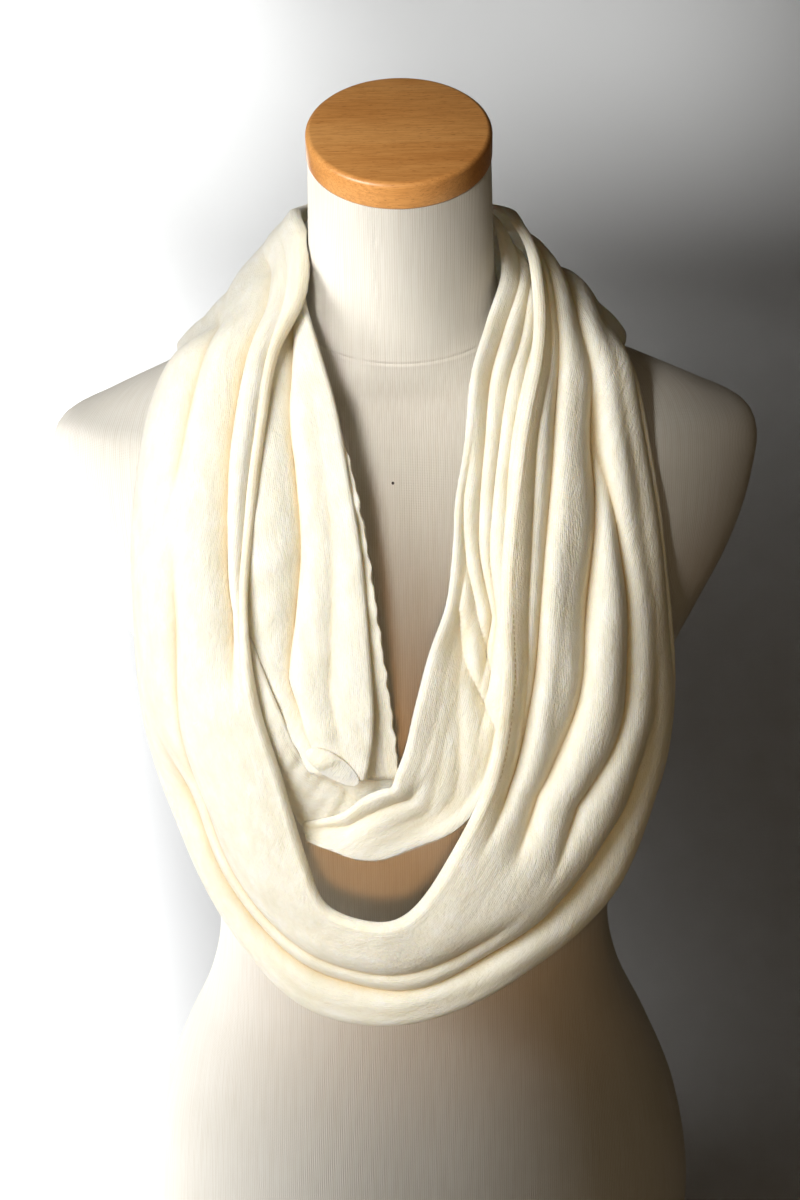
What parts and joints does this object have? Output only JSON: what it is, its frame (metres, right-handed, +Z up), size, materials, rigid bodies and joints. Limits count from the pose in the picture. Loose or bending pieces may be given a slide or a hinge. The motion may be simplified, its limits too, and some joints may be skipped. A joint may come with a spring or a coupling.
{
  "type": "infinity scarf on a dress form",
  "caption": "Soft cream jersey loop scarf worn in a short inner turn and a long outer turn with gathered folds, on a limbless table-top dress form with a wooden neck cap.",
  "frame": {"origin": "centre of the dress form's flat base", "axes": "+Z up along the form, -Y is the front of the form, +X is the viewer's right when the front is looked at"},
  "size_m": [0.411, 0.2837, 0.7326],
  "materials": {
    "cream_jersey": "soft brushed knit",
    "form_cover": "matt fine ribbed cover",
    "cap_wood": "satin beech"
  },
  "bodies": {
    "root": {"form_body": "form_cover", "neck_cap": "cap_wood", "outer_front_right": "cream_jersey", "outer_front_left": "cream_jersey", "outer_back": "cream_jersey", "inner_back": "cream_jersey", "inner_front_right": "cream_jersey", "inner_front_left": "cream_jersey", "inner_under_left": "cream_jersey", "inner_crossing": "cream_jersey"}
  },
  "joints": []
}
